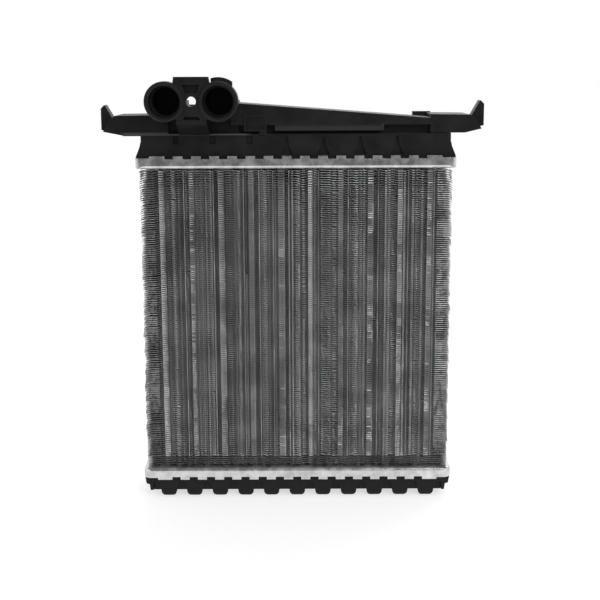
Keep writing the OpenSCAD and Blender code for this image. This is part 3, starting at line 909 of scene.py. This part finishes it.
    def _collars(self) -> bpy.types.Object:
        """Builds the fins' collars, which stand on each other round every tube.

        Returns:
            All the collars as one piece.
        """
        inner_radius = self.barrel + self.collar_gap
        heights = (self.low.z + self.edge_drop, self.high.z)
        verts: list[tuple[float, float, float]] = []
        faces: list[tuple[int, int, int]] = []
        for centre in self.centres:
            base = len(verts)
            outer = ring(centre, self.tube_radius, self.collar_sides)
            inner = ring(centre, inner_radius, self.collar_sides)
            for pair in zip(outer, inner):
                verts += [(x, y, z) for x, y in pair for z in heights]
            for i in range(self.collar_sides):
                a = base + 4 * i
                b = base + 4 * ((i + 1) % self.collar_sides)
                walls = ((a, b, b + 1, a + 1), (b + 2, a + 2, a + 3, b + 3))
                rims = ((a + 2, b + 2, b, a), (a + 1, b + 1, b + 3, a + 3))
                for p, q, r, s in walls + rims:
                    faces += [(p, q, r), (p, r, s)]
        return new_mesh("fin_collars", np.array(verts), np.array(faces))

    def dress(self) -> None:
        """Builds the block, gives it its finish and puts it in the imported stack's place."""
        for piece in self.build():
            FIN_SHEET.dress(piece)
            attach(piece, BODY)
            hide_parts("fin_pack")
            LOG.info("%s: %d triangles", piece.name, len(piece.data.polygons))


@dataclass
class PackedPieces:
    """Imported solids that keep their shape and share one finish."""

    nodes: tuple[str, ...]
    finish: Finish

    def dress(self) -> None:
        """Gives each solid its finish."""
        for name in self.nodes:
            self.finish.dress(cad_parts[name])
            LOG.info("%s: %s", name, self.finish.slot)


@dataclass(frozen=True)
class Lamp:
    """A soft square lamp: where it hangs, the side of its square and its power in watts."""

    name: str
    place: tuple[float, float, float]
    size: float
    power: float

    def hang(self, target: Vector) -> None:
        """Adds the lamp to the scene.

        Args:
            target: The point that it looks at.
        """
        data = bpy.data.lights.new(self.name, "AREA")
        data.size = self.size
        data.energy = self.power
        lamp = bpy.data.objects.new(self.name, data)
        lamp.location = self.place
        lamp.rotation_euler = (target - Vector(self.place)).to_track_quat("-Z", "Y").to_euler()
        bpy.context.scene.collection.objects.link(lamp)


@dataclass
class Studio:
    """The pale floor, the soft light and the camera at the photo's angle."""

    target: Vector = field(default_factory=lambda: Vector((0.00213, -0.021, 0.12258)))
    distance: float = 0.7
    elevation: float = 11.0
    turn: float = 0.1
    roll: float = -0.23
    focal_px: float = 1180.95
    frame_px: float = 600.0
    sensor: float = 36.0
    # the floor, and how much it glows for the camera and in mirrors
    floor_half: float = 4.0
    floor_front: float = -0.5
    floor_grey: tuple[float, float, float, float] = (0.45, 0.45, 0.45, 1.0)
    floor_rough: float = 0.9
    floor_glow: float = 0.65
    # the surround: its strength as light, and in mirrors, where a ramp leads up from its darker front
    fill: float = 0.8
    front_light: float = 0.14
    front_ramp: tuple[float, float] = (-0.1, 0.6)
    lamps: tuple[Lamp, ...] = (
        Lamp("back_lamp", (0.3, 0.9, 1.2), 1.0, 10.0),
        Lamp("front_lamp", (0.5, -1.0, 0.8), 0.5, 3.4),
    )

    def build(self) -> None:
        """Builds everything round the part."""
        self._camera()
        self._world()
        self._floor()
        for lamp in self.lamps:
            lamp.hang(self.target)
        view = bpy.context.scene.view_settings
        view.view_transform = "Standard"

    def _camera(self) -> None:
        """Places the camera where the photo was taken from."""
        rise, turn, roll = (math.radians(v) for v in (self.elevation, self.turn, self.roll))
        look = Vector((math.cos(rise) * math.sin(turn), -math.cos(rise) * math.cos(turn), math.sin(rise)))
        right = Vector((math.cos(turn), math.sin(turn), 0.0))
        up = look.cross(right)
        right, up = (
            math.cos(roll) * right + math.sin(roll) * up,
            math.cos(roll) * up - math.sin(roll) * right,
        )
        place = Matrix((right, up, look)).transposed().to_4x4()
        place.translation = self.target + self.distance * look
        data = bpy.data.cameras.new("photo_camera")
        data.sensor_width = self.sensor
        data.lens = self.focal_px / self.frame_px * self.sensor
        camera = bpy.data.objects.new("photo_camera", data)
        camera.matrix_world = place
        bpy.context.scene.collection.objects.link(camera)
        bpy.context.scene.camera = camera

    @staticmethod
    def _mirrored(graph: Graph, path: bpy.types.Node) -> bpy.types.NodeSocket:
        """Returns 1 for rays that come off shiny or through clear surfaces, else 0."""
        return graph.maths("ADD", path.outputs["Is Glossy Ray"], path.outputs["Is Transmission Ray"])

    def _world(self) -> None:
        """Makes a surround that is white to the camera and that metal mirrors darker to the front."""
        world = bpy.data.worlds.new("studio")
        bpy.context.scene.world = world
        world.use_nodes = True
        graph = Graph(world.node_tree)
        back = world.node_tree.nodes["Background"]
        back.inputs["Color"].default_value = WHITE
        direction = graph.split(graph.add("TexCoord").outputs["Generated"])
        bright = graph.ramp(direction.outputs["Y"], *self.front_ramp, self.front_light)
        path = graph.add("LightPath")
        light = graph.mix(self._mirrored(graph, path), self.fill, bright, "FLOAT")
        strength = graph.mix(path.outputs["Is Camera Ray"], light, 1.0, "FLOAT")
        graph.put(back.inputs["Strength"], strength)

    def _floor(self) -> None:
        """Lays the pale floor that the part stands on."""
        half, front = self.floor_half, self.floor_front
        corners = np.array([(-half, front, 0), (half, front, 0), (half, half, 0), (-half, half, 0)], float)
        floor = new_mesh("studio_floor", corners, np.array([(0, 1, 2), (0, 2, 3)]))
        mat = bpy.data.materials.new("pale_floor")
        mat.use_nodes = True
        graph = Graph(mat.node_tree)
        shader = mat.node_tree.nodes["Principled BSDF"]
        shader.inputs["Base Color"].default_value = self.floor_grey
        shader.inputs["Roughness"].default_value = self.floor_rough
        shader.inputs["Emission Color"].default_value = WHITE
        path = graph.add("LightPath")
        seen = graph.maths("ADD", path.outputs["Is Camera Ray"], self._mirrored(graph, path))
        graph.put(shader.inputs["Emission Strength"], graph.maths("MULTIPLY", seen, self.floor_glow))
        floor.data.materials.append(mat)


def new_mesh(name: str, verts: np.ndarray, faces: np.ndarray) -> bpy.types.Object:
    """Makes an object from points and triangles.

    Args:
        name: The object's name.
        verts: Its points, one row each.
        faces: Its triangles, one row of point numbers each.

    Returns:
        The new object, linked to the scene.
    """
    mesh = bpy.data.meshes.new(name)
    mesh.vertices.add(len(verts))
    mesh.vertices.foreach_set("co", verts.astype(np.float32).ravel())
    mesh.loops.add(faces.size)
    mesh.loops.foreach_set("vertex_index", faces.astype(np.int32).ravel())
    mesh.polygons.add(len(faces))
    mesh.polygons.foreach_set("loop_start", np.arange(0, faces.size, 3, dtype=np.int32))
    mesh.update(calc_edges=True)
    obj = bpy.data.objects.new(name, mesh)
    bpy.context.scene.collection.objects.link(obj)
    return obj


def main() -> None:
    """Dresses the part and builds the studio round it."""
    logging.basicConfig(level=logging.INFO, format="%(message)s")
    Studio().build()
    tubes = tuple(sorted(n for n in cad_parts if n.startswith("tube_")))
    PackedPieces(("top_tank", "bottom_tank"), NYLON).dress()
    PackedPieces(("top_header", "bottom_header"), TRAY_SHEET).dress()
    PackedPieces(("top_gasket", "bottom_gasket"), RUBBER).dress()
    PackedPieces(tubes, TUBE_WALL).dress()
    FinBlock().dress()


if __name__ == "__main__":
    main()
